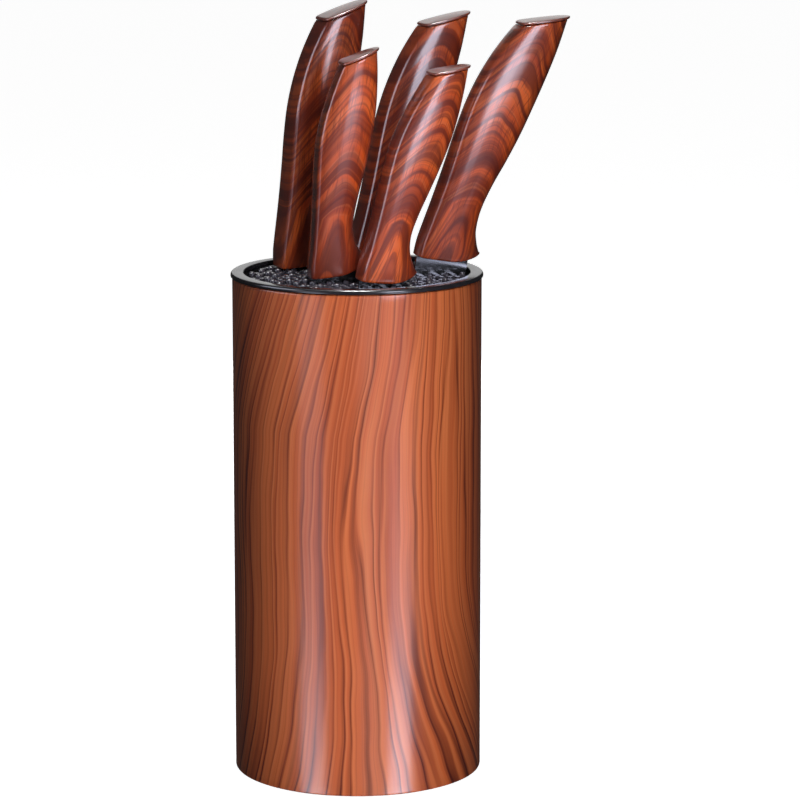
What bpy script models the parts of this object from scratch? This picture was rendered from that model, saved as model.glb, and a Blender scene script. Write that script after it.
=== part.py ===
"""Round knife block with a lift-out bristle insert and five knives. Metres, +Z up.

The block stands on its anti-slip pad, block axis on Z, pad face at z = 0. The five knives stand in
the bristle insert: bread, chef's and slicing knife behind, utility and paring knife in front.
"""
import math

import bpy
import bmesh
from mathutils import Vector

MM = 0.001

# ---------------------------------------------------------------- driving dimensions (mm, degrees)
SLEEVE_R = 55.0            # outside radius of the printed sleeve
SLEEVE_WALL = 2.2
SLEEVE_Z0, SLEEVE_Z1 = 0.6, 222.4
SLEEVE_CHAMFER = 0.7
BASE_R = 52.5              # base disc, inside the sleeve's foot
BASE_Z0, BASE_Z1 = 1.8, 5.2
PAD_R, PAD_Z1 = 46.0, 1.5
CUP_R, CUP_BORE_R = 51.4, 50.0
CUP_Z0, CUP_FLOOR, CUP_Z1 = 5.5, 7.6, 222.4
RIM_R = 55.7               # collar over the sleeve's top edge, standing a little proud of it
RIM_Z0, RIM_Z1 = 222.7, 224.7
SKIRT_R0, SKIRT_R1, SKIRT_DEPTH = 51.7, 52.5, 6.0
INSERT_R = 48.4
PLATE_Z0, PLATE_Z1 = 8.0, 12.0
BANK_Z0, BANK_Z1 = 12.3, 223.4
ROUND_STEPS = 88

BLADE_T = 2.2              # blade thickness at the spine
SLOT_GAP = 0.3             # clearance each side of a blade
EDGE_T = 0.5               # thickness left at the cutting edge
TANG_T = 1.8
TANG_CLEAR = 0.3
CAP_T, CAP_CROWN = 1.2, 0.5   # end cap plate
FIT_GAP = 0.3

# Handle outlines: height above the handle's foot, spine side, finger side (the blade plane).
LARGE_OUTLINE = [
    (0.0, -11.4, 17.4), (3.0, -11.2, 16.4), (7.3, -10.7, 15.2), (14.3, -9.2, 14.0), (23.3, -7.2, 14.7),
    (34.3, -5.0, 18.0), (46.3, -2.9, 22.9), (58.3, -1.0, 27.4), (71.3, 1.6, 31.5), (83.3, 5.2, 35.0),
    (94.3, 9.8, 37.8), (102.3, 14.2, 39.3), (109.3, 18.8, 40.35),
]
SMALL_OUTLINE = [
    (0.0, -10.0, 16.0), (3.0, -9.7, 15.2), (6.2, -9.3, 14.2), (12.2, -7.9, 12.3), (20.2, -6.5, 11.9),
    (29.2, -5.0, 14.3), (39.2, -3.5, 18.1), (49.2, -2.1, 21.9), (59.2, -0.2, 25.2), (69.2, 2.8, 27.7),
    (79.2, 7.0, 29.3), (85.7, 10.2, 30.0), (92.2, 13.7, 30.45),
]
# Half section of a handle: position from spine (0) to finger side (1), half thickness share.
HALF_SECTION = [
    (0.000, 0.00), (0.004, 0.45), (0.020, 0.80), (0.050, 0.92), (0.110, 0.965), (0.240, 0.995),
    (0.420, 1.00), (0.600, 0.95), (0.760, 0.84), (0.880, 0.67), (0.960, 0.42), (1.000, 0.00),
]
HANDLE_STATIONS = 24
CAP_SLOPE = 0.26           # the butt rises towards the finger side
FOOT_KINK, FOOT_RUN = 2.0, 15.6    # beyond the kink the foot curves up to the finger side
LARGE_RISE, SMALL_RISE = 4.5, 5.8

# Blade outlines, heel to tip: depth below the handle's foot, spine side, edge side.
CHEF = [(12, -11.0, 12.4), (16, -11.0, 29.5), (22, -11.0, 31.0), (60, -10.9, 29.6), (100, -10.7, 25.6),
        (140, -10.2, 18.6), (170, -9.4, 10.4), (190, -8.4, 3.2), (200, -7.6, -1.4), (205, -7.0, -5.4)]
BREAD = [(12, -11.0, 12.4), (16, -11.0, 16.6), (22, -11.0, 17.0), (100, -11.0, 17.0), (180, -10.6, 17.0),
         (194, -7.6, 16.8), (201, -2.6, 16.2), (205, 4.0, 14.6)]
SLICING = [(14, -11.0, 12.4), (60, -11.0, 12.4), (120, -10.9, 12.0), (165, -10.6, 9.4), (188, -9.8, 3.6),
           (199, -9.0, -2.4), (205, -8.2, -6.6)]
UTILITY = [(8, -9.3, 11.2), (11, -9.3, 13.6), (40, -9.3, 13.0), (75, -9.0, 10.0), (100, -8.4, 5.0),
           (117, -7.6, -1.4), (125, -6.8, -5.2)]
PARING = [(8, -9.3, 11.2), (11, -9.3, 12.6), (40, -9.0, 11.2), (65, -8.2, 6.6), (80, -7.2, 0.4),
          (90, -6.0, -4.4)]
SCALLOP_PITCH, SCALLOP_DEPTH = 8.0, 1.1

# name, large handle, half thickness, place of the handle's foot, yaw, lean, blade, scalloped
KNIVES = [
    ("bread_knife", True, 9.3, (-25.1, 20.0, 224.8), 20.9, -4.9, BREAD, True),
    ("chef_knife", True, 9.3, (7.0, 14.0, 224.6), 18.2, 2.0, CHEF, False),
    ("slicing_knife", True, 9.3, (36.7, 3.0, 229.7), 14.1, 9.1, SLICING, False),
    ("utility_knife", False, 8.6, (-11.3, -20.0, 226.1), 10.1, -6.0, UTILITY, False),
    ("paring_knife", False, 8.6, (9.8, -35.0, 225.5), 15.8, 5.5, PARING, False),
]
# Tang: depth into the handle, spine side, finger side.
LARGE_TANG = [(-9.0, -6.0, 6.0), (0.0, -5.0, 7.0), (66.0, 9.0, 19.0)]
SMALL_TANG = [(-9.0, -5.2, 5.2), (0.0, -4.2, 6.2), (54.0, 5.6, 15.6)]

COLOURS = {
    "printed_wood": ((0.46, 0.17, 0.08, 1.0), 0.28, 0.0),
    "black_plastic": ((0.02, 0.02, 0.022, 1.0), 0.35, 0.0),
    "bristle": ((0.015, 0.015, 0.017, 1.0), 0.45, 0.0),
    "steel": ((0.60, 0.60, 0.62, 1.0), 0.30, 1.0),
    "handle_wood": ((0.50, 0.16, 0.06, 1.0), 0.22, 0.0),
    "end_cap": ((0.42, 0.22, 0.20, 1.0), 0.25, 0.0),
    "rubber": ((0.03, 0.03, 0.03, 1.0), 0.80, 0.0),
}


# ---------------------------------------------------------------- helpers
def clear_scene():
    for ob in list(bpy.data.objects):
        bpy.data.objects.remove(ob, do_unlink=True)


def new_collection(name):
    coll = bpy.data.collections.new(name)
    bpy.context.scene.collection.children.link(coll)
    return coll


def material(ob, kind):
    """Give the object a material of its own, coloured by kind."""
    colour, rough, metal = COLOURS[kind]
    mat = bpy.data.materials.new(ob.name + "_material")
    mat.use_nodes = True
    node = mat.node_tree.nodes["Principled BSDF"]
    node.inputs["Base Color"].default_value = colour
    node.inputs["Roughness"].default_value = rough
    node.inputs["Metallic"].default_value = metal
    mat.diffuse_color = colour
    ob.data.materials.append(mat)


def add_object(name, bm, coll, kind=None, parent=None, smooth=True):
    mesh = bpy.data.meshes.new(name)
    bmesh.ops.recalc_face_normals(bm, faces=bm.faces)
    bm.to_mesh(mesh)
    bm.free()
    if smooth:
        for poly in mesh.polygons:
            poly.use_smooth = True
    ob = bpy.data.objects.new(name, mesh)
    coll.objects.link(ob)
    if parent is not None:
        ob.parent = parent
    if kind:
        material(ob, kind)
    return ob


def turned(name, profile, coll, kind, closed=True):
    """Turn a profile of (radius, z) points about Z; it runs down its outer side, top to bottom."""
    bm = bmesh.new()
    verts = [bm.verts.new((r * MM, 0.0, z * MM)) for r, z in profile]
    for a, b in zip(verts, verts[1:]):
        bm.edges.new((a, b))
    if closed:
        bm.edges.new((verts[-1], verts[0]))
    mesh = bpy.data.meshes.new(name)
    bm.to_mesh(mesh)
    bm.free()
    ob = bpy.data.objects.new(name, mesh)
    coll.objects.link(ob)
    mod = ob.modifiers.new("turn", "SCREW")
    mod.axis = "Z"
    mod.steps = mod.render_steps = ROUND_STEPS
    mod.use_merge_vertices = True
    mod.merge_threshold = 0.00001
    mod.use_smooth_shade = True
    material(ob, kind)
    return ob


def smooth_rows(rows, at):
    """Value of each column of rows (first column is the position) at a position, eased between rows."""
    xs = [row[0] for row in rows]
    at = min(max(at, xs[0]), xs[-1])
    i = max(j for j in range(len(xs) - 1) if xs[j] <= at)
    span = xs[i + 1] - xs[i]
    t = (at - xs[i]) / span
    out = []
    for c in range(1, len(rows[0])):
        def slope(k):
            if k == 0:
                return (rows[1][c] - rows[0][c]) / (xs[1] - xs[0])
            if k == len(rows) - 1:
                return (rows[k][c] - rows[k - 1][c]) / (xs[k] - xs[k - 1])
            return (rows[k + 1][c] - rows[k - 1][c]) / (xs[k + 1] - xs[k - 1])
        p0, p1, m0, m1 = rows[i][c], rows[i + 1][c], slope(i) * span, slope(i + 1) * span
        out.append((2 * t**3 - 3 * t**2 + 1) * p0 + (t**3 - 2 * t**2 + t) * m0
                   + (3 * t**2 - 2 * t**3) * p1 + (t**3 - t**2) * m1)
    return out


def skin(rings, bm, pointed):
    """Skin a list of equal closed rings and close both ends with strips across the section.

    A pointed ring starts with its one vertex on the spine and has one more on the far side; any
    other ring has equal front and back rows.
    """
    grid = [[bm.verts.new(Vector(p) * MM) for p in ring] for ring in rings]
    n = len(grid[0])
    for a, b in zip(grid, grid[1:]):
        for i in range(n):
            j = (i + 1) % n
            bm.faces.new((a[i], a[j], b[j], b[i]))
    for ring in (grid[0], grid[-1]):
        if pointed:
            bm.faces.new((ring[0], ring[1], ring[-1]))
            for i in range(1, n // 2 - 1):
                bm.faces.new((ring[i], ring[i + 1], ring[n - i - 1], ring[n - i]))
            bm.faces.new((ring[n // 2 - 1], ring[n // 2], ring[n // 2 + 1]))
        else:
            for i in range(n // 2 - 1):
                bm.faces.new((ring[i], ring[i + 1], ring[n - 2 - i], ring[n - 1 - i]))


# ---------------------------------------------------------------- block
def outer_sleeve(coll):
    r, w, c = SLEEVE_R, SLEEVE_WALL, SLEEVE_CHAMFER
    top, foot = SLEEVE_Z1, SLEEVE_Z0
    turned("outer_sleeve", [
        (r - w, top), (r - c, top), (r - 0.2, top - 0.25), (r, top - c),
        (r, foot + c), (r - 0.2, foot + 0.25), (r - c, foot), (r - w, foot),
    ], coll, "printed_wood")


def base_disc(coll):
    turned("base_disc", [
        (0.0, BASE_Z1), (BASE_R - 0.6, BASE_Z1), (BASE_R, BASE_Z1 - 0.6), (BASE_R, BASE_Z0),
        (0.0, BASE_Z0),
    ], coll, "black_plastic", closed=False)


def anti_slip_pad(coll):
    turned("anti_slip_pad", [
        (0.0, PAD_Z1), (PAD_R, PAD_Z1), (PAD_R, 0.5), (PAD_R - 0.5, 0.0), (0.0, 0.0),
    ], coll, "rubber", closed=False)


def inner_cup(coll):
    """Plain deep liner that stands on the base disc and holds the bristle insert."""
    turned("inner_cup", [
        (0.0, CUP_FLOOR), (CUP_BORE_R, CUP_FLOOR),
        (CUP_BORE_R, CUP_Z1), (CUP_R, CUP_Z1), (CUP_R, CUP_Z0 + 0.8), (CUP_R - 0.8, CUP_Z0),
        (0.0, CUP_Z0),
    ], coll, "black_plastic", closed=False)


def rim_collar(coll):
    """Black collar on the cup's and the sleeve's top edges, with a skirt between the two walls."""
    turned("rim_collar", [
        (CUP_BORE_R, RIM_Z1 - 0.5), (CUP_BORE_R + 0.5, RIM_Z1), (RIM_R - 0.8, RIM_Z1),
        (RIM_R - 0.2, RIM_Z1 - 0.3), (RIM_R, RIM_Z1 - 0.9), (RIM_R, RIM_Z0 + 0.4),
        (RIM_R - 0.4, RIM_Z0), (SKIRT_R1, RIM_Z0), (SKIRT_R1, RIM_Z0 - SKIRT_DEPTH),
        (SKIRT_R0, RIM_Z0 - SKIRT_DEPTH), (SKIRT_R0, RIM_Z0), (CUP_BORE_R, RIM_Z0),
    ], coll, "black_plastic")


# ---------------------------------------------------------------- bristle insert
def bristle_plate(coll):
    turned("bristle_plate", [
        (0.0, PLATE_Z1), (INSERT_R - 0.5, PLATE_Z1), (INSERT_R, PLATE_Z1 - 0.5),
        (INSERT_R, PLATE_Z0 + 0.5), (INSERT_R - 0.5, PLATE_Z0), (0.0, PLATE_Z0),
    ], coll, "bristle", closed=False)


def blade_planes():
    """Each blade's upright plane as (point x, y, normal x, y), ordered from back to front."""
    planes = []
    for knife in KNIVES:
        x, y = knife[3][:2]
        yaw = math.radians(knife[4])
        nx, ny = -math.sin(yaw), math.cos(yaw)
        planes.append((y - x * math.tan(yaw), x, y, nx, ny))
    planes.sort(reverse=True)
    return [plane[1:] for plane in planes]


def clip(points, x, y, nx, ny, keep_from):
    """Keep the part of a convex outline at least keep_from along the normal (nx, ny) from (x, y)."""
    out = []
    for i, p in enumerate(points):
        q = points[(i + 1) % len(points)]
        dp = (p[0] - x) * nx + (p[1] - y) * ny - keep_from
        dq = (q[0] - x) * nx + (q[1] - y) * ny - keep_from
        if dp >= 0:
            out.append(p)
        if (dp < 0) != (dq < 0) and dp != dq:
            t = dp / (dp - dq)
            if 0.0 < t < 1.0:
                out.append((p[0] + (q[0] - p[0]) * t, p[1] + (q[1] - p[1]) * t))
    return out


def bristle_banks(coll):
    """The bristles, as six upright blocks with an open slot for a blade between neighbours."""
    half = BLADE_T / 2 + SLOT_GAP
    planes = blade_planes()
    steps = 72
    circle = [(INSERT_R * math.cos(2 * math.pi * i / steps), INSERT_R * math.sin(2 * math.pi * i / steps))
              for i in range(steps)]
    for i in range(len(planes) + 1):
        outline = circle
        if i < len(planes):
            x, y, nx, ny = planes[i]
            outline = clip(outline, x, y, nx, ny, half)
        if i > 0:
            x, y, nx, ny = planes[i - 1]
            outline = clip(outline, x, y, -nx, -ny, half)
        bm = bmesh.new()
        low = [bm.verts.new((px * MM, py * MM, BANK_Z0 * MM)) for px, py in outline]
        high = [bm.verts.new((px * MM, py * MM, BANK_Z1 * MM)) for px, py in outline]
        bm.faces.new(list(reversed(low)))
        bm.faces.new(high)
        for a in range(len(low)):
            b = (a + 1) % len(low)
            bm.faces.new((low[a], low[b], high[b], high[a]))
        add_object("bristle_bank_%d" % (i + 1), bm, coll, "bristle", smooth=False)


# ---------------------------------------------------------------- knives
def foot_height(u, rise):
    """Height of the handle's underside: level on the spine side, curving up to the finger side."""
    return 0.0 if u <= FOOT_KINK else rise * ((u - FOOT_KINK) / FOOT_RUN) ** 2


def handle_ring(u0, u1, half, height):
    """One section of the handle; height is a function of the position across it."""
    side = [(u0 + f * (u1 - u0), half * w) for f, w in HALF_SECTION]
    ring = [(u, w, height(u)) for u, w in side]
    ring += [(u, -w, height(u)) for u, w in reversed(side[1:-1])]
    return ring


def knife_handle(name, large, half, coll, cutters, parent):
    outline = LARGE_OUTLINE if large else SMALL_OUTLINE
    length = outline[-1][0]
    rise = LARGE_RISE if large else SMALL_RISE
    rings = []
    for k in range(HANDLE_STATIONS + 1):
        at = length * k / HANDLE_STATIONS
        u0, u1 = smooth_rows(outline, at)
        share = at / length
        belly = half * (0.94 + 0.06 * math.sin(math.pi * min(1.0, share * 1.15)))
        foot = max(0.0, 1.0 - at / 16.0)
        mid = (u0 + u1) / 2

        def height(u, at=at, share=share, foot=foot, mid=mid):
            return at + foot * foot_height(u, rise) + CAP_SLOPE * share * share * (u - mid)
        rings.append(handle_ring(u0, u1, belly, height))
    bm = bmesh.new()
    skin(rings, bm, pointed=True)
    handle = add_object(name + "_handle", bm, coll, "handle_wood", parent)
    cutter = tang(name + "_tang_pocket", large, cutters, parent, TANG_CLEAR)
    cut = handle.modifiers.new("tang_pocket", "BOOLEAN")
    cut.operation = "DIFFERENCE"
    cut.solver = "EXACT"
    cut.object = cutter
    return outline, belly


def tang(name, large, coll, parent, clear):
    """A flat tapering bar; clear is added all round it for the pocket that holds it."""
    rows = LARGE_TANG if large else SMALL_TANG
    bm = bmesh.new()
    rings = []
    for at, u0, u1 in rows:
        at = at + clear if at > 0.0 else at
        w = TANG_T / 2 + clear
        u0, u1 = u0 - clear, u1 + clear
        rings.append([(u0, w, at), (u1, w, at), (u1, -w, at), (u0, -w, at)])
    skin(rings, bm, pointed=False)
    ob = add_object(name, bm, coll, None, parent, smooth=False)
    ob.hide_render = True
    ob.display_type = "WIRE"
    return ob


def knife_end_cap(name, outline, half, coll, parent):
    """Slanted plate on the butt, with a lip that reaches past the finger side."""
    length = outline[-1][0]
    u0, u1 = outline[-1][1:]
    mid = (u0 + u1) / 2
    rings = []
    for lift, grow in ((FIT_GAP, -0.2), (FIT_GAP + 0.3, 0.2), (FIT_GAP + CAP_T - 0.4, 0.2),
                       (FIT_GAP + CAP_T, -0.5)):
        def height(u, lift=lift):
            crown = CAP_CROWN * (1.0 - ((u - mid) / 11.5) ** 2) if lift > FIT_GAP + 0.5 else 0.0
            return length + lift + CAP_SLOPE * (u - mid) + crown
        rings.append(handle_ring(u0 + 0.25 * lift - grow, u1 + 0.25 * lift + grow + 0.6, half + grow, height))
    bm = bmesh.new()
    skin(rings, bm, pointed=True)
    add_object(name + "_end_cap", bm, coll, "end_cap", parent)


def blade_depths(rows, scalloped):
    """Depths at which the blade's section is taken: close together where its outline turns."""
    depths = []
    for a, b in zip(rows, rows[1:]):
        span = b[0] - a[0]
        count = 4 if span <= 6 else max(3, round(span / 8.0))
        depths += [a[0] + span * i / count for i in range(count)]
    depths.append(rows[-1][0])
    if scalloped:
        first, last = 24.0, 192.0
        depths = [d for d in depths if not first <= d <= last]
        count = round((last - first) / SCALLOP_PITCH) * 4
        depths += [first + (last - first) * i / count for i in range(count + 1)]
    return sorted(depths)


def knife_blade(name, large, rows, scalloped, coll, cutters, parent):
    """Blade with a flat, a ground side that thins to the edge, and a tang joined into its root."""
    rise = LARGE_RISE if large else SMALL_RISE
    t, e = BLADE_T / 2, EDGE_T / 2
    rings = []
    s, edge = rows[0][1], rows[0][2]
    root = [s, FOOT_KINK, (FOOT_KINK + edge) / 2, edge]
    for depth in (None, rows[0][0] * 0.6):
        pts = []
        for u in root:
            z = foot_height(u, rise) - FIT_GAP if depth is None else -depth
            pts.append((u, t, z))
        rings.append([(u, w, z) for u, w, z in pts] + [(u, -w, z) for u, w, z in reversed(pts)])
    for depth in blade_depths(rows, scalloped):
        u0, u1 = smooth_rows(rows, depth)
        if scalloped and 24.0 <= depth <= 192.0:
            phase = (depth - 24.0) / SCALLOP_PITCH
            u1 -= SCALLOP_DEPTH * math.sin(math.pi * (phase % 1.0))
        ground = min(1.0, (depth - rows[0][0]) / 8.0)
        g = u0 + (u1 - u0) * 0.42
        m = g + (u1 - g) * 0.5
        e_now = t + (e - t) * ground
        m_now = t + ((t + e) / 2 - t) * ground
        taper = 1.0 - 0.45 * (depth / rows[-1][0]) ** 2
        pts = [(u0, t * taper), (g, t * taper), (m, m_now * taper), (u1, min(e_now, t * taper))]
        rings.append([(u, w, -depth) for u, w in pts] + [(u, -w, -depth) for u, w in reversed(pts)])
    bm = bmesh.new()
    skin(rings, bm, pointed=False)
    blade = add_object(name + "_blade", bm, coll, "steel", parent, smooth=False)
    bar = tang(name + "_tang", large, cutters, parent, 0.0)
    join = blade.modifiers.new("tang", "BOOLEAN")
    join.operation = "UNION"
    join.solver = "EXACT"
    join.object = bar


def knives(coll, cutters):
    for name, large, half, place, yaw, lean, rows, scalloped in KNIVES:
        seat = bpy.data.objects.new(name + "_seat", None)
        seat.empty_display_size = 0.02
        seat.location = Vector(place) * MM
        seat.rotation_euler = (0.0, math.radians(lean), math.radians(yaw))
        coll.objects.link(seat)
        outline, top_half = knife_handle(name, large, half, coll, cutters, seat)
        knife_end_cap(name, outline, top_half, coll, seat)
        knife_blade(name, large, rows, scalloped, coll, cutters, seat)


def build():
    clear_scene()
    coll = new_collection("bristle_knife_block")
    cutters = new_collection("cutters")
    cutters.hide_render = True
    outer_sleeve(coll)
    base_disc(coll)
    anti_slip_pad(coll)
    inner_cup(coll)
    rim_collar(coll)
    bristle_plate(coll)
    bristle_banks(coll)
    knives(coll, cutters)


build()
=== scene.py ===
"""Looks of the round bristle knife block: printed wood grain, bristle rods, camera and light.

The blades, cup, plate, disc and pad keep their CAD meshes and get procedural materials. The sleeve,
collar, handles and end caps are replaced by finer pieces of the same outline, and the six bristle banks
by separate rods that part round the blades. Metres, +Z up, as in the CAD.
"""
import math
import random

import bpy
import bmesh
from mathutils import Matrix, Vector


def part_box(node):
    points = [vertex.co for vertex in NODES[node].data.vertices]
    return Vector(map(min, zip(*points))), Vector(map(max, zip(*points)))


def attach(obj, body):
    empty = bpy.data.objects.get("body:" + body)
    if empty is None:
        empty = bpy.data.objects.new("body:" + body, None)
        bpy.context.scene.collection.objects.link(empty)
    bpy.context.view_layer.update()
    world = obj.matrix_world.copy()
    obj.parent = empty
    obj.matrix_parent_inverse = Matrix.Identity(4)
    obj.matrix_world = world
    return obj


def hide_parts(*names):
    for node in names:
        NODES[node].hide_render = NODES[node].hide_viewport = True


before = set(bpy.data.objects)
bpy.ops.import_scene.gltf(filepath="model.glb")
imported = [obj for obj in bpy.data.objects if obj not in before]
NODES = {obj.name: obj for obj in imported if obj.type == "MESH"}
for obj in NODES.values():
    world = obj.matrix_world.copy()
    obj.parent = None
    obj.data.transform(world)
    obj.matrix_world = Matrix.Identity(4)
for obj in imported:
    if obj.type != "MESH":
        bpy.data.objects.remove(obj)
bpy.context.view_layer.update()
MM = 0.001

# ---------------------------------------------------------------- driving values (mm, degrees)
SEED = 7
SLEEVE_R, SLEEVE_WALL, SLEEVE_Z0, SLEEVE_Z1 = 55.0, 2.2, 0.6, 222.4
SLEEVE_ROUND, SLEEVE_END = 0.7, 4.0
RIM_R, RIM_BORE_R, RIM_Z0, RIM_Z1 = 55.7, 50.0, 222.7, 224.7
RIM_ROUND_TOP, RIM_ROUND_LOW, RIM_ROUND_BORE = 1.1, 0.4, 0.5
SKIRT_R0, SKIRT_R1, SKIRT_DEPTH = 51.7, 52.5, 6.0
TURN_STEPS = 288

# bristle rods: a skewed grid in which every other rod of every other row stands taller
ROD_R, ROD_SIDES = 1.42, 12
ROD_STEP_A, ROD_STEP_B = (2.0, 4.2), (1.6, -3.7)
TALL_TIP, SHORT_TIP, TIP_SPREAD = 224.2, 223.1, 0.06
TALL_ROUND, SHORT_ROUND = 1.0, 0.25
ROD_GRID = 24                # the grid runs this many steps each way from the middle
PUSH_STEP, PUSH_TRIES = 0.2, 16

# handle outlines: height above the handle's foot, spine side, finger side
LARGE_OUTLINE = [
    (0.0, -11.4, 17.4), (3.0, -11.2, 16.4), (7.3, -10.7, 15.2), (14.3, -9.2, 14.0), (23.3, -7.2, 14.7),
    (34.3, -5.0, 18.0), (46.3, -2.9, 22.9), (58.3, -1.0, 27.4), (71.3, 1.6, 31.5), (83.3, 5.2, 35.0),
    (94.3, 9.8, 37.8), (102.3, 14.2, 39.3), (109.3, 18.8, 40.35),
]
SMALL_OUTLINE = [
    (0.0, -10.0, 16.0), (3.0, -9.7, 15.2), (6.2, -9.3, 14.2), (12.2, -7.9, 12.3), (20.2, -6.5, 11.9),
    (29.2, -5.0, 14.3), (39.2, -3.5, 18.1), (49.2, -2.1, 21.9), (59.2, -0.2, 25.2), (69.2, 2.8, 27.7),
    (79.2, 7.0, 29.3), (85.7, 10.2, 30.0), (92.2, 13.7, 30.45),
]
# half section of a handle: share of its width from the spine, share of its half thickness; the
# close points make the narrow rounded ridge between the spine face and the broad face
HALF_SECTION = [
    (0.000, 0.00), (0.003, 0.25), (0.008, 0.50), (0.017, 0.69), (0.029, 0.785), (0.046, 0.850),
    (0.070, 0.895), (0.105, 0.930), (0.160, 0.962), (0.240, 0.988), (0.320, 0.998), (0.400, 1.00),
    (0.520, 0.98), (0.620, 0.94), (0.720, 0.875), (0.810, 0.785), (0.880, 0.67), (0.935, 0.52),
    (0.975, 0.32), (0.994, 0.15), (1.000, 0.00),
]
SECTION_SPLIT, STATIONS = 4, 84
CAP_SLOPE, CAP_T, CAP_CROWN, CAP_LIP, FIT_GAP = 0.26, 1.2, 0.5, 0.6, 0.3
# edge of an end cap: height above its underside, growth past the handle's outline
CAP_EDGE = [
    (0.0, -0.2), (0.12, 0.05), (0.3, 0.2), (CAP_T - 0.5, 0.2), (CAP_T - 0.28, 0.1), (CAP_T - 0.1, -0.12),
    (CAP_T, -0.5),
]
FOOT_KINK, FOOT_RUN, FOOT_FADE, LARGE_RISE, SMALL_RISE = 2.0, 15.6, 16.0, 4.5, 5.8
# rounded end edges of a handle: distance drawn in, distance from the end
FOOT_ROUNDING = [(0.55, 0.0), (0.27, 0.10), (0.10, 0.27)]
BUTT_ROUNDING = [(0.08, 0.22), (0.22, 0.08), (0.45, 0.0)]
HANDLE_SWEEP = 0.27          # the handles' middle line moves this far to the finger side per unit of height

# name: large handle, half thickness, place of the handle's foot, yaw, lean
KNIVES = {
    "bread": (True, 9.3, (-25.1, 20.0, 224.8), 20.9, -4.9),
    "chef": (True, 9.3, (7.0, 14.0, 224.6), 18.2, 2.0),
    "slicing": (True, 9.3, (36.7, 3.0, 229.7), 14.1, 9.1),
    "utility": (False, 8.6, (-11.3, -20.0, 226.1), 10.1, -6.0),
    "paring": (False, 8.6, (9.8, -35.0, 225.5), 15.8, 5.5),
}

# name: seed of the handle's print, place of its arches' middle line at the foot
PRINTS = {"bread": (0.5, -2.2), "chef": (2.2, -1.2), "slicing": (4.1, -1.2), "utility": (5.3, -2.2),
          "paring": (7.9, -0.7)}

# floor and the wall round it, in metres
STAGE_SIDES, STAGE_REACH, WALL_HEIGHT = 48, 6.0, 5.0


# ---------------------------------------------------------------- node helpers
class Graph:
    """Short calls for building one material's node tree."""

    def __init__(self, name):
        self.mat = bpy.data.materials.new(name)
        self.mat.use_nodes = True
        self.tree = self.mat.node_tree
        self.shader = self.tree.nodes["Principled BSDF"]

    def node(self, kind, **values):
        n = self.tree.nodes.new(kind)
        for key, value in values.items():
            setattr(n, key, value)
        return n

    def put(self, socket, value):
        if hasattr(value, "is_output"):
            self.tree.links.new(value, socket)
        else:
            socket.default_value = value

    def set(self, **values):
        """Set inputs of the Principled shader by name, with _ for a space."""
        for key, value in values.items():
            self.put(self.shader.inputs[key.replace("_", " ")], value)

    def math(self, op, a, b=0.0, c=0.0, clamp=False):
        n = self.node("ShaderNodeMath", operation=op, use_clamp=clamp)
        for socket, value in zip(n.inputs, (a, b, c)):
            self.put(socket, value)
        return n.outputs[0]

    def object_xyz(self):
        coords = self.node("ShaderNodeTexCoord").outputs["Object"]
        split = self.node("ShaderNodeSeparateXYZ")
        self.put(split.inputs[0], coords)
        return split.outputs

    def vector(self, x, y, z):
        n = self.node("ShaderNodeCombineXYZ")
        for socket, value in zip(n.inputs, (x, y, z)):
            self.put(socket, value)
        return n.outputs[0]

    def noise(self, vector, scale, detail=2.0, rough=0.5, distortion=0.0):
        n = self.node("ShaderNodeTexNoise")
        for key, value in (("Vector", vector), ("Scale", scale), ("Detail", detail),
                           ("Roughness", rough), ("Distortion", distortion)):
            self.put(n.inputs[key], value)
        return n.outputs["Fac"]

    def ramp(self, fac, stops, ease="LINEAR"):
        n = self.node("ShaderNodeValToRGB")
        ramp = n.color_ramp
        ramp.interpolation = ease
        while len(ramp.elements) < len(stops):
            ramp.elements.new(0.5)
        for element, (at, colour) in zip(ramp.elements, stops):
            element.position = at
            element.color = (*colour, 1.0) if len(colour) == 3 else colour
        self.put(n.inputs[0], fac)
        return n.outputs[0]

    def grey_ramp(self, fac, stops, ease="LINEAR"):
        return self.ramp(fac, [(at, (v, v, v)) for at, v in stops], ease)

    def mix(self, fac, a, b, blend="MIX"):
        n = self.node("ShaderNodeMix", data_type="RGBA", blend_type=blend)
        self.put(n.inputs[0], fac)
        self.put(n.inputs[6], a if hasattr(a, "is_output") else (*a, 1.0))
        self.put(n.inputs[7], b if hasattr(b, "is_output") else (*b, 1.0))
        return n.outputs[2]

    def bump(self, height, strength, distance):
        n = self.node("ShaderNodeBump")
        for key, value in (("Height", height), ("Strength", strength), ("Distance", distance)):
            self.put(n.inputs[key], value)
        self.put(self.shader.inputs["Normal"], n.outputs[0])
        return n.outputs[0]


def srgb(r, g, b):
    """Linear colour of an 8-bit sRGB one."""
    return tuple(((v / 255.0 + 0.055) / 1.055) ** 2.4 if v > 10 else v / 255.0 / 12.92 for v in (r, g, b))


def paint(node, material):
    """Put a material on every slot of a CAD node."""
    for slot in NODES[node].material_slots:
        slot.material = material


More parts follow.
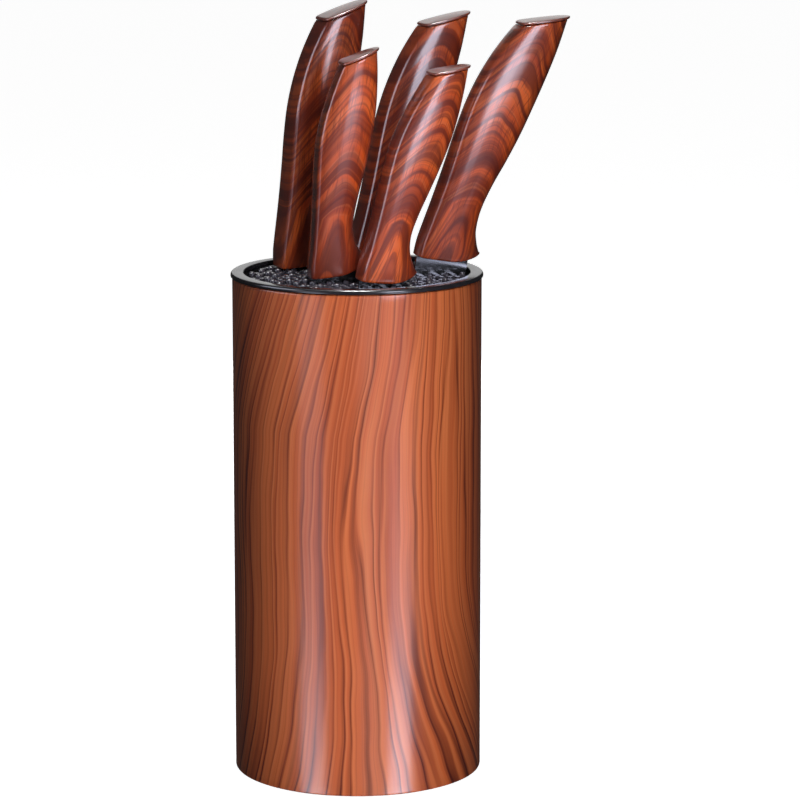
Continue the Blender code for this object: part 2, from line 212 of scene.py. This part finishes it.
# ---------------------------------------------------------------- materials
def sleeve_wood():
    """Printed straight-grained wood under a clear gloss: wavy lines that flare out at the foot."""
    g = Graph("sleeve_wood_print")
    x, y, z = g.object_xyz()
    height = g.math("MULTIPLY", z, 1000.0)
    around = g.math("ARCTAN2", x, g.math("MULTIPLY", y, -1.0))
    arc = g.math("MULTIPLY", around, SLEEVE_R)
    # the grain leans over to the right near the top, most at the left, and spreads at the foot
    top = g.math("POWER", g.math("DIVIDE", g.math("SUBTRACT", height, 160.0), 62.0, clamp=True), 1.2)
    foot = g.math("POWER", g.math("DIVIDE", g.math("SUBTRACT", 95.0, height), 95.0, clamp=True), 2.0)
    sway = g.math("MULTIPLY", g.math("SINE", g.math("DIVIDE", height, 26.0)), 1.6)
    drift = g.math("ADD", g.math("ADD", g.math("MULTIPLY", top, 9.0), g.math("MULTIPLY", foot, 4.0)), sway)
    flare = g.math("MULTIPLY", foot, g.math("ADD", 0.75, g.math("MULTIPLY", g.math("SINE", around), 0.35)))
    spread = g.math("ADD", g.math("SUBTRACT", 1.0, g.math("MULTIPLY", top, 0.22)), flare)
    across = g.math("DIVIDE", g.math("SUBTRACT", arc, drift), spread)
    wobble = g.noise(g.vector(g.math("MULTIPLY", across, 0.035), g.math("MULTIPLY", height, 0.014), 3.0),
                     1.0, 2.0)
    across = g.math("ADD", across, g.math("MULTIPLY", g.math("SUBTRACT", wobble, 0.5), 8.0))

    def streak(scale, seed, detail=1.0, drawn=0.0022):
        """Noise drawn out along the grain."""
        return g.noise(g.vector(g.math("MULTIPLY", across, scale), g.math("MULTIPLY", height, drawn), seed),
                       1.0, detail, 0.5)

    def year_lines(pitch, unevenness, seed, stops):
        """Repeated lines at an uneven pitch: a share of the dark tone for each place between two lines."""
        shift = g.math("MULTIPLY", streak(0.11, seed), unevenness)
        place = g.math("ADD", g.math("DIVIDE", across, pitch), shift)
        return g.grey_ramp(g.math("FRACT", place), stops, "EASE")

    broad = streak(0.085, 1.0)
    colour = g.ramp(broad, [(0.32, srgb(168, 76, 38)), (0.50, srgb(184, 88, 45)), (0.64, srgb(194, 99, 53))],
                    "EASE")
    soft = streak(0.50, 5.0, 2.0)
    colour = g.mix(g.grey_ramp(soft, [(0.34, 0.26), (0.50, 0.0)]), colour, srgb(138, 58, 32))
    colour = g.mix(g.grey_ramp(soft, [(0.54, 0.0), (0.72, 0.35)]), colour, srgb(206, 116, 68))
    small = year_lines(2.3, 3.0, 9.0, [(0.0, 0.20), (0.16, 0.0), (0.80, 0.0), (1.0, 0.20)])
    colour = g.mix(small, colour, srgb(96, 36, 20))
    # lines are stronger toward the foot; toward the sides and back, away from the front, they are darkened
    # further as painted shade; and they fade in and out along their length
    fading = g.grey_ramp(streak(0.2, 12.0, 1.0, 0.014), [(0.38, 0.45), (0.60, 1.0)])
    side_shade = g.math("DIVIDE", g.math("ABSOLUTE", around), 1.4)
    side_shade = g.grey_ramp(side_shade, [(0.2, 0.0), (0.8, 0.35)], "EASE")
    strength = g.math("ADD", g.math("ADD", 1.0, side_shade), g.math("MULTIPLY", foot, 0.7))
    strength = g.math("MULTIPLY", fading, strength)
    main = year_lines(5.0, 5.0, 14.0, [(0.0, 0.66), (0.07, 0.40), (0.20, 0.0), (0.68, 0.0), (0.90, 0.24),
                                       (1.0, 0.66)])
    colour = g.mix(g.math("MULTIPLY", main, strength, clamp=True), colour, srgb(78, 24, 14))
    after = year_lines(5.0, 5.0, 14.0, [(0.08, 0.0), (0.24, 0.34), (0.60, 0.0)])
    colour = g.mix(after, colour, srgb(208, 120, 72))
    # the dark heart vein, and others beside it
    footing = g.math("ADD", 1.0, g.math("MULTIPLY", foot, 0.6))
    for at, width, depth in ((0.5, 1.3, 0.42), (27.0, 1.0, 0.45), (33.5, 0.9, 0.40), (-24.0, 0.9, 0.25)):
        away = g.math("DIVIDE", g.math("ABSOLUTE", g.math("SUBTRACT", across, at)), width)
        vein = g.grey_ramp(away, [(0.0, depth), (0.35, depth * 0.7), (1.0, 0.0)], "EASE")
        colour = g.mix(g.math("MULTIPLY", vein, footing, clamp=True), colour, srgb(74, 24, 16))
    g.set(Base_Color=colour, Roughness=0.50, Coat_Weight=0.75, Coat_Roughness=0.21, Specular_IOR_Level=0.12)
    relief = g.noise(g.vector(g.math("MULTIPLY", across, 0.8), g.math("MULTIPLY", height, 0.004), 2.0), 1.0)
    g.bump(relief, 0.02, 0.0004)
    return g.mat


def in_handle_axes(g, name):
    """Millimetres in a knife's own axes: u to the finger side, w across, v up from the foot."""
    _, _, place, yaw, lean = KNIVES[name]
    coords = g.node("ShaderNodeTexCoord").outputs["Object"]
    seat = g.node("ShaderNodeMapping", vector_type="TEXTURE")
    g.put(seat.inputs["Vector"], coords)
    seat.inputs["Location"].default_value = [c * MM for c in place]
    seat.inputs["Rotation"].default_value = (0.0, math.radians(lean), math.radians(yaw))
    split = g.node("ShaderNodeSeparateXYZ")
    g.put(split.inputs[0], seat.outputs[0])
    return [g.math("MULTIPLY", s, 1000.0) for s in split.outputs]


def handle_wood(name, seed, apex):
    """Glossy print of nested arches over the upper half, running out into straight lines below."""
    g = Graph(name + "_handle_print")
    u, w, v = in_handle_axes(g, name)
    swept = g.math("MULTIPLY", v, HANDLE_SWEEP)
    middle = g.math("ADD", swept, apex)
    warp = g.noise(g.vector(g.math("MULTIPLY", u, 0.045), g.math("MULTIPLY", w, 0.045),
                            g.math("ADD", g.math("MULTIPLY", v, 0.024), seed)), 1.0, 2.0)
    warp = g.math("SUBTRACT", warp, 0.5)
    side = g.math("ADD", g.math("SUBTRACT", u, middle), g.math("MULTIPLY", warp, 9.0))
    over = g.math("SQRT", g.math("ADD", g.math("MULTIPLY", side, side), 45.0))
    rise = g.math("ADD", g.math("MULTIPLY", v, 0.10),
                  g.math("MULTIPLY", g.math("MAXIMUM", g.math("SUBTRACT", v, 26.0), 0.0), 0.50))
    ring = g.math("ADD", g.math("ADD", over, rise), g.math("MULTIPLY", warp, 7.0))

    def rings(scale, offset, detail=1.0):
        """Noise that follows the arches."""
        return g.noise(g.vector(g.math("MULTIPLY", ring, scale), g.math("MULTIPLY", v, 0.015), offset + seed),
                       1.0, detail, 0.5)

    broad = rings(0.13, 2.0)
    colour = g.ramp(broad, [(0.34, srgb(126, 42, 18)), (0.47, srgb(192, 76, 28)), (0.62, srgb(218, 98, 38)),
                            (0.76, srgb(168, 62, 28))], "EASE")
    lines = rings(0.52, 6.0, 1.5)
    dark = g.grey_ramp(lines, [(0.38, 0.80), (0.46, 0.35), (0.52, 0.0)], "EASE")
    colour = g.mix(dark, colour, srgb(92, 28, 16))
    colour = g.mix(g.grey_ramp(lines, [(0.56, 0.0), (0.70, 0.45)]), colour, srgb(206, 104, 58))
    thin = rings(1.1, 9.0)
    colour = g.mix(g.grey_ramp(thin, [(0.36, 0.55), (0.48, 0.0)]), colour, srgb(104, 38, 22))
    pores = g.noise(g.vector(g.math("MULTIPLY", side, 1.6), g.math("MULTIPLY", v, 0.09), seed), 1.0, 2.0)
    colour = g.mix(g.grey_ramp(pores, [(0.34, 0.60), (0.47, 0.0)]), colour, srgb(104, 36, 20))
    # painted shade: the print is darkened round the finger side and the spine, where the rounded handle turns
    # away from the light
    beside = g.math("DIVIDE", g.math("ADD", g.math("SUBTRACT", u, swept), 14.0), 28.0)
    edge = g.grey_ramp(beside, [(0.08, 0.45), (0.22, 0.0), (0.72, 0.0), (0.95, 0.75)], "EASE")
    colour = g.mix(edge, colour, srgb(88, 30, 20))
    g.set(Base_Color=colour, Roughness=0.45, Coat_Weight=1.0, Coat_Roughness=0.17, Specular_IOR_Level=0.1)
    g.bump(pores, 0.02, 0.0003)
    return g.mat


def cap_wood(name, seed):
    """The same print on the butt plate, greyer, with its grain along the plate."""
    g = Graph(name + "_cap_print")
    u, w, _ = in_handle_axes(g, name)
    grain = g.noise(g.vector(g.math("MULTIPLY", u, 0.06), g.math("MULTIPLY", w, 0.55), seed), 1.0, 3.0, 0.6)
    colour = g.ramp(grain, [(0.30, srgb(92, 38, 28)), (0.55, srgb(140, 66, 48)), (0.75, srgb(106, 46, 34))],
                    "EASE")
    g.set(Base_Color=colour, Roughness=0.42, Coat_Weight=0.9, Coat_Roughness=0.18, Specular_IOR_Level=0.35)
    g.bump(grain, 0.03, 0.0003)
    return g.mat


def black_plastic(name, rough, level):
    """Moulded black plastic with a faint unevenness in its gloss."""
    g = Graph(name)
    x, y, z = g.object_xyz()
    cloud = g.noise(g.vector(x, y, z), 90.0, 3.0, 0.6)
    colour = g.ramp(cloud, [(0.3, (level * 0.85, level * 0.8, level)),
                            (0.7, (level * 1.2, level * 1.1, level * 1.35))])
    g.set(Base_Color=colour, Roughness=g.grey_ramp(cloud, [(0.3, rough * 0.9), (0.7, rough * 1.15)]))
    g.bump(g.noise(g.vector(x, y, z), 900.0, 2.0), 0.03, 0.0002)
    return g.mat


def bristle_plastic():
    """Dark purplish grey nylon."""
    g = Graph("bristle_nylon")
    x, y, z = g.object_xyz()
    tone = g.noise(g.vector(x, y, g.math("MULTIPLY", z, 0.02)), 260.0, 2.0)
    colour = g.ramp(tone, [(0.3, (0.042, 0.036, 0.050)), (0.7, (0.075, 0.065, 0.086))])
    g.set(Base_Color=colour, Roughness=0.27, Specular_IOR_Level=0.5)
    return g.mat


def blade_steel(name):
    """Dark satin steel, brushed across the blade."""
    g = Graph(name + "_steel")
    u, _, v = in_handle_axes(g, name)
    brushed = g.noise(g.vector(g.math("MULTIPLY", u, 0.12), 0.0, g.math("MULTIPLY", v, 3.5)), 1.0, 3.0, 0.6)
    colour = g.ramp(brushed, [(0.3, (0.10, 0.10, 0.11)), (0.7, (0.14, 0.14, 0.15))])
    g.set(Base_Color=colour, Metallic=0.85, Roughness=g.grey_ramp(brushed, [(0.3, 0.11), (0.7, 0.16)]))
    return g.mat


def pad_rubber():
    """Dull black rubber."""
    g = Graph("pad_rubber")
    x, y, z = g.object_xyz()
    grain = g.noise(g.vector(x, y, z), 1200.0, 4.0, 0.7)
    g.set(Base_Color=g.ramp(grain, [(0.3, (0.02,) * 3), (0.7, (0.04,) * 3)]), Roughness=0.85)
    g.bump(grain, 0.3, 0.0002)
    return g.mat


# ---------------------------------------------------------------- shape helpers
def new_piece(name, bm, material, hard=None):
    """Object from a bmesh, smooth shaded; edges sharper than hard degrees stay crisp."""
    mesh = bpy.data.meshes.new(name)
    bmesh.ops.recalc_face_normals(bm, faces=bm.faces)
    bm.to_mesh(mesh)
    bm.free()
    for poly in mesh.polygons:
        poly.use_smooth = True
    if hard is not None:
        mesh.set_sharp_from_angle(angle=math.radians(hard))
    mesh.materials.append(material)
    ob = bpy.data.objects.new(name, mesh)
    bpy.context.scene.collection.objects.link(ob)
    return ob


def stand_for(ob, body, node):
    """Let a piece take the place of a CAD node."""
    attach(ob, body)
    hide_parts(node)


def turned(name, profile, material, hard=35.0):
    """Closed profile of (radius, height) turned about Z."""
    bm = bmesh.new()
    rows = []
    for i in range(TURN_STEPS):
        a = 2 * math.pi * i / TURN_STEPS
        rows.append([bm.verts.new((r * MM * math.sin(a), -r * MM * math.cos(a), z * MM)) for r, z in profile])
    for i, row in enumerate(rows):
        after = rows[(i + 1) % TURN_STEPS]
        for k in range(len(profile)):
            m = (k + 1) % len(profile)
            bm.faces.new((row[k], after[k], after[m], row[m]))
    return new_piece(name, bm, material, hard)


def corner(r, z, radius, start, end, count=5):
    """Points of a rounded corner about (r, z), between two angles in degrees."""
    turns = [math.radians(start + (end - start) * k / count) for k in range(count + 1)]
    return [(r + radius * math.cos(a), z + radius * math.sin(a)) for a in turns]


def block_shell():
    """The printed sleeve and the collar on its top edge."""
    c = SLEEVE_ROUND
    profile = [(SLEEVE_R - SLEEVE_WALL, SLEEVE_Z1)]
    profile += corner(SLEEVE_R - c, SLEEVE_Z1 - c, c, 90, 0)
    profile += [(SLEEVE_R, SLEEVE_Z1 - SLEEVE_END), (SLEEVE_R, 112.0), (SLEEVE_R, SLEEVE_Z0 + SLEEVE_END)]
    profile += corner(SLEEVE_R - c, SLEEVE_Z0 + c, c, 0, -90)
    profile += [(SLEEVE_R - SLEEVE_WALL, SLEEVE_Z0)]
    stand_for(turned("sleeve_print", profile, sleeve_wood()), "block", "outer_sleeve")

    top, low, bore = RIM_ROUND_TOP, RIM_ROUND_LOW, RIM_ROUND_BORE
    profile = corner(RIM_BORE_R + bore, RIM_Z1 - bore, bore, 180, 90)
    profile += corner(RIM_R - top, RIM_Z1 - top, top, 90, 0)
    profile += corner(RIM_R - low, RIM_Z0 + low, low, 0, -90, 3)
    profile += [(SKIRT_R1, RIM_Z0), (SKIRT_R1, RIM_Z0 - SKIRT_DEPTH), (SKIRT_R0, RIM_Z0 - SKIRT_DEPTH),
                (SKIRT_R0, RIM_Z0), (RIM_BORE_R, RIM_Z0)]
    collar = turned("collar_ring", profile, black_plastic("collar_gloss", 0.18, 0.016))
    stand_for(collar, "block", "rim_collar")


# ---------------------------------------------------------------- knives
def smooth_rows(rows, at):
    """Value of each column of rows (first column is the position) at a position, eased between rows."""
    xs = [row[0] for row in rows]
    at = min(max(at, xs[0]), xs[-1])
    i = max(j for j in range(len(xs) - 1) if xs[j] <= at)
    span = xs[i + 1] - xs[i]
    t = (at - xs[i]) / span
    out = []
    for c in range(1, len(rows[0])):
        def slope(k):
            if k == 0:
                return (rows[1][c] - rows[0][c]) / (xs[1] - xs[0])
            if k == len(rows) - 1:
                return (rows[k][c] - rows[k - 1][c]) / (xs[k] - xs[k - 1])
            return (rows[k + 1][c] - rows[k - 1][c]) / (xs[k + 1] - xs[k - 1])
        p0, p1, m0, m1 = rows[i][c], rows[i + 1][c], slope(i) * span, slope(i + 1) * span
        out.append((2 * t**3 - 3 * t**2 + 1) * p0 + (t**3 - 2 * t**2 + t) * m0
                   + (3 * t**2 - 2 * t**3) * p1 + (t**3 - t**2) * m1)
    return out


def fine_half_section():
    """The half section with each span cut into SECTION_SPLIT along a curve through its points."""
    def mirrored(point):
        return point[0], -point[1]

    def between(a, b, c, d, t):
        """Catmull-Rom curve from b to c."""
        return 0.5 * (2 * b + (c - a) * t + (2 * a - 5 * b + 4 * c - d) * t * t
                      + (3 * b - a - 3 * c + d) * t**3)

    pts = [mirrored(HALF_SECTION[1])] + HALF_SECTION + [mirrored(HALF_SECTION[-2])]
    out = []
    for four in zip(pts, pts[1:], pts[2:], pts[3:]):
        for k in range(SECTION_SPLIT):
            out.append(tuple(between(*(p[i] for p in four), k / SECTION_SPLIT) for i in (0, 1)))
    return out + [HALF_SECTION[-1]]


def ring(u0, u1, half, height):
    """One ring round a handle between its two sides, at the height that each u has."""
    side = [(u0 + f * (u1 - u0), half * w) for f, w in FINE]
    pts = side + [(u, -w) for u, w in reversed(side[1:-1])]
    return [(u, w, height(u)) for u, w in pts]


def drawn_in(points, by, u0, u1, half):
    """A ring moved inward by a small distance all round."""
    mid, wide = (u0 + u1) / 2, (u1 - u0) / 2
    return [(mid + (u - mid) * (1 - by / wide), w * (1 - by / half), z) for u, w, z in points]


def lofted(name, rings, place, material, hard=None):
    """Closed solid through equal rings given in the knife's own axes."""
    _, _, at, yaw, lean = KNIVES[place]
    turn = Matrix.Rotation(math.radians(yaw), 4, "Z") @ Matrix.Rotation(math.radians(lean), 4, "Y")
    seat = Matrix.Translation(Vector(at) * MM) @ turn
    bm = bmesh.new()
    grid = [[bm.verts.new(seat @ (Vector(p) * MM)) for p in row] for row in rings]
    n = len(grid[0])
    for a, b in zip(grid, grid[1:]):
        for i in range(n):
            bm.faces.new((a[i], a[(i + 1) % n], b[(i + 1) % n], b[i]))
    for row in (grid[0], grid[-1]):
        centre = bm.verts.new(sum((v.co for v in row), Vector()) / n)
        for i in range(n):
            bm.faces.new((row[i], row[(i + 1) % n], centre))
    return new_piece(name, bm, material, hard)


def foot_height(u, rise):
    """How far the foot's edge has curved up at u."""
    return 0.0 if u <= FOOT_KINK else rise * ((u - FOOT_KINK) / FOOT_RUN) ** 2


def belly_at(half, share):
    """Half thickness of a handle at a share of its length."""
    return half * (0.94 + 0.06 * math.sin(math.pi * min(1.0, share * 1.15)))


def handle(name, seed, apex):
    """Handle with its lower edge flared up at the finger side and both end edges rounded off."""
    large, half, _, _, _ = KNIVES[name]
    outline = LARGE_OUTLINE if large else SMALL_OUTLINE
    length = outline[-1][0]
    rise = LARGE_RISE if large else SMALL_RISE
    rings = []
    for k in range(STATIONS + 1):
        at = length * k / STATIONS
        u0, u1 = smooth_rows(outline, at)
        share = at / length
        belly = belly_at(half, share)
        foot = max(0.0, 1.0 - at / FOOT_FADE)
        mid = (u0 + u1) / 2

        def height(u):
            return at + foot * foot_height(u, rise) + CAP_SLOPE * share * share * (u - mid)
        row = ring(u0, u1, belly, height)
        if k == 0:
            for by, up in FOOT_ROUNDING:
                rings.append([(u, w, z + up) for u, w, z in drawn_in(row, by, u0, u1, belly)])
            rings.append([(u, w, z + 0.55) for u, w, z in row])
        elif k == STATIONS:
            rings.append([(u, w, z - 0.45) for u, w, z in row])
            for by, down in BUTT_ROUNDING:
                rings.append([(u, w, z - down) for u, w, z in drawn_in(row, by, u0, u1, belly)])
        else:
            rings.append(row)
    body = name + "_knife"
    ob = lofted(body + "_handle_print", rings, name, handle_wood(name, seed, apex), 50.0)
    stand_for(ob, body, body + "_handle")


def end_cap(name, seed):
    """Thin crowned plate on a handle's butt, a little wider than the handle."""
    large, half, _, _, _ = KNIVES[name]
    length, u0, u1 = (LARGE_OUTLINE if large else SMALL_OUTLINE)[-1]
    belly = belly_at(half, 1.0)
    mid = (u0 + u1) / 2
    rings = []
    for lift, grow in CAP_EDGE:
        up = FIT_GAP + lift

        def level(u):
            return length + up + CAP_SLOPE * (u - mid)
        rings.append(ring(u0 + 0.25 * up - grow, u1 + 0.25 * up + grow + CAP_LIP, belly + grow, level))
    rim = rings[-1]
    cu = sum(p[0] for p in rim) / len(rim)
    for share in (0.93, 0.8, 0.6, 0.4, 0.2):
        crown = CAP_CROWN * (1.0 - share**2)
        rings.append([(cu + (u - cu) * share, w * share, z - CAP_SLOPE * (u - cu) * (1 - share) + crown)
                      for u, w, z in rim])
    body = name + "_knife"
    ob = lofted(body + "_cap_print", rings, name, cap_wood(name, 3.1 * seed), 60.0)
    stand_for(ob, body, body + "_end_cap")


# ---------------------------------------------------------------- bristles
def bank_outline(ob):
    """Convex outline of a bank, counter-clockwise, from the corners of its top face."""
    top = max(v.co.z for v in ob.data.vertices)
    points = {(round(v.co.x, 6), round(v.co.y, 6)) for v in ob.data.vertices if v.co.z > top - 1e-5}
    cx = sum(p[0] for p in points) / len(points)
    cy = sum(p[1] for p in points) / len(points)
    return sorted(points, key=lambda p: math.atan2(p[1] - cy, p[0] - cx))


def depth_inside(p, outline):
    """Distance from p to the nearest side of a convex outline; negative outside."""
    best = 1.0
    for i, a in enumerate(outline):
        b = outline[(i + 1) % len(outline)]
        ex, ey = b[0] - a[0], b[1] - a[1]
        length = math.hypot(ex, ey)
        if length > 1e-7:
            best = min(best, (ex * (p[1] - a[1]) - ey * (p[0] - a[0])) / length)
    return best


def add_rod(bm, x, y, foot, tip, shoulder):
    """One round rod with a rounded shoulder and a small flat tip, in metres."""
    r = ROD_R * MM
    levels = [(foot, r), (tip - 30 * MM, r), (tip - shoulder, r)]
    for a in (20, 40, 60, 75, 90):
        drop, inset = 1 - math.sin(math.radians(a)), 1 - math.cos(math.radians(a))
        levels.append((tip - shoulder * drop, r - shoulder * inset))
    turns = [2 * math.pi * i / ROD_SIDES for i in range(ROD_SIDES)]
    rings = [[bm.verts.new((x + size * math.cos(a), y + size * math.sin(a), level)) for a in turns]
             for level, size in levels]
    for a, b in zip(rings, rings[1:]):
        for i in range(ROD_SIDES):
            j = (i + 1) % ROD_SIDES
            bm.faces.new((a[i], a[j], b[j], b[i]))
    bm.faces.new(list(reversed(rings[0])))
    top = bm.verts.new((x, y, tip + 0.05 * MM))
    for i in range(ROD_SIDES):
        bm.faces.new((rings[-1][i], rings[-1][(i + 1) % ROD_SIDES], top))


def bristles(material):
    """Rods on a skewed grid; a rod whose place a blade takes is pushed aside into its bank."""
    rng = random.Random(SEED)
    banks = [(n, bank_outline(NODES[n])) for n in sorted(NODES) if n.startswith("bristle_bank_")]
    meshes = {n: bmesh.new() for n, _ in banks}
    _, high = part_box("bristle_plate")
    reach, foot, need = high.x, high.z + 0.05 * MM, ROD_R * 1.04 * MM
    for i in range(-ROD_GRID, ROD_GRID + 1):
        for j in range(-ROD_GRID, ROD_GRID + 1):
            x = (i * ROD_STEP_A[0] + j * ROD_STEP_B[0]) * MM
            y = (i * ROD_STEP_A[1] + j * ROD_STEP_B[1]) * MM
            if math.hypot(x, y) > reach - need:
                continue
            name, outline = max(banks, key=lambda b: depth_inside((x, y), b[1]))
            if depth_inside((x, y), outline) < -0.4 * need:
                continue
            cx = sum(p[0] for p in outline) / len(outline)
            cy = sum(p[1] for p in outline) / len(outline)
            far = math.hypot(cx - x, cy - y)
            for step in range(PUSH_TRIES):
                nx = x + (cx - x) / far * step * PUSH_STEP * MM
                ny = y + (cy - y) / far * step * PUSH_STEP * MM
                if depth_inside((nx, ny), outline) >= need:
                    break
            tall = i % 2 == 0 and j % 2 == 0
            tip = (TALL_TIP if tall else SHORT_TIP) + rng.uniform(-TIP_SPREAD, TIP_SPREAD)
            shoulder = TALL_ROUND if tall else SHORT_ROUND
            add_rod(meshes[name], nx, ny, foot, tip * MM, shoulder * MM)
    for name, bm in meshes.items():
        stand_for(new_piece(name + "_rods", bm, material, 70.0), "bristle_insert", name)


# ---------------------------------------------------------------- dressing the frame
def dress():
    """Give every CAD node its material or the pieces that take its place."""
    block_shell()
    paint("inner_cup", black_plastic("cup_plastic", 0.4, 0.008))
    paint("base_disc", black_plastic("base_plastic", 0.5, 0.015))
    paint("anti_slip_pad", pad_rubber())
    rods = bristle_plastic()
    paint("bristle_plate", rods)
    for name, (seed, apex) in PRINTS.items():
        handle(name, seed, apex)
        end_cap(name, seed)
        paint(name + "_knife_blade", blade_steel(name))
    bristles(rods)


# ---------------------------------------------------------------- stage
def floor():
    """Plain pale floor with a wall all round; neither lights the object nor shows in its gloss."""
    mesh = bpy.data.meshes.new("floor")
    n = STAGE_SIDES
    turns = [2 * math.pi * i / n for i in range(n)]
    low = [(STAGE_REACH * math.cos(a), STAGE_REACH * math.sin(a), 0.0) for a in turns]
    high = [(x, y, WALL_HEIGHT) for x, y, _ in low]
    walls = [(i, (i + 1) % n, n + (i + 1) % n, n + i) for i in range(n)]
    mesh.from_pydata(low + high, [], [tuple(range(n))] + walls)
    ob = bpy.data.objects.new("floor", mesh)
    bpy.context.scene.collection.objects.link(ob)
    g = Graph("floor_pale")
    g.set(Base_Color=(0.8, 0.8, 0.8, 1.0), Roughness=0.8, Specular_IOR_Level=0.1,
          Emission_Color=(1.0, 1.0, 1.0, 1.0), Emission_Strength=0.95)
    mesh.materials.append(g.mat)
    ob.visible_diffuse = ob.visible_glossy = ob.visible_shadow = False


def area_light(name, azimuth, distance, height, size, radiance, aim=0.17, diffuse=True, glossy=True,
               colour=(1.0, 1.0, 1.0)):
    """Soft box at an azimuth from the camera's side (right positive), turned to the block's axis."""
    data = bpy.data.lights.new(name, "AREA")
    data.shape = "RECTANGLE"
    data.size, data.size_y = size
    data.energy = radiance * math.pi * size[0] * size[1]
    data.color = colour
    ob = bpy.data.objects.new(name, data)
    a = math.radians(azimuth)
    ob.location = (distance * math.sin(a), -distance * math.cos(a), height)
    ob.rotation_euler = (Vector((0.0, 0.0, aim)) - ob.location).to_track_quat("-Z", "Y").to_euler()
    ob.visible_diffuse, ob.visible_glossy, ob.visible_camera = diffuse, glossy, False
    bpy.context.scene.collection.objects.link(ob)
    return ob


def studio_world():
    """Dim all-round light."""
    world = bpy.data.worlds.new("studio")
    world.use_nodes = True
    back = world.node_tree.nodes["Background"]
    back.inputs[0].default_value = (1.0, 1.0, 1.0, 1.0)
    back.inputs[1].default_value = 0.03
    bpy.context.scene.world = world


def light_and_camera():
    """Slim key for the wood, soft boxes for the gloss on sleeve, handles and rods, and the camera."""
    scene = bpy.context.scene
    scene.view_settings.view_transform = "Standard"
    studio_world()
    pale = (0.79, 0.83, 1.0)
    area_light("key", 10.0, 0.24, 0.20, (0.06, 0.70), 7.9, glossy=False, aim=0.20)
    area_light("strip_right_low", 39.0, 1.2, -0.46, (0.46, 0.36), 16.5, diffuse=False, colour=pale)
    area_light("strip_right_mid", 40.0, 1.2, -0.185, (0.46, 0.19), 2.8, diffuse=False, colour=pale)
    area_light("window_high", 33.0, 1.2, 0.48, (0.42, 0.60), 15.0, diffuse=False, colour=pale)
    area_light("left_fill", -75.0, 0.8, 0.45, (0.30, 0.30), 1.4, glossy=False)
    area_light("strip_left_low", -42.0, 1.2, -0.46, (0.48, 0.36), 9.5, diffuse=False, colour=pale)
    area_light("strip_left_high", -42.0, 1.2, 0.12, (0.48, 0.76), 1.9, diffuse=False, colour=pale)
    area_light("side_left_high", -76.0, 1.2, 0.72, (0.9, 0.7), 6.0, diffuse=False, colour=pale)
    area_light("backdrop_glow", 180.0, 1.2, 0.60, (0.62, 0.80), 0.8)
    area_light("back_fill", 180.0, 1.0, 0.30, (0.4, 0.8), 3.6, glossy=False)
    area_light("overhead", 0.0, 0.01, 1.5, (1.2, 1.2), 1.2, aim=0.0)
    area_light("spark", 0.0, 0.25, 1.3, (0.30, 0.30), 100.0, diffuse=False)
    cam = bpy.data.cameras.new("camera")
    cam.sensor_width = 36.0
    cam.lens = 167.26
    cam.clip_end = 50.0
    ob = bpy.data.objects.new("camera", cam)
    ob.location = (0.0007, -1.6203, 0.4718)
    ob.rotation_euler = (math.radians(79.338), 0.0, math.radians(-0.646))
    scene.collection.objects.link(ob)
    scene.camera = ob


FINE = fine_half_section()
dress()
floor()
light_and_camera()
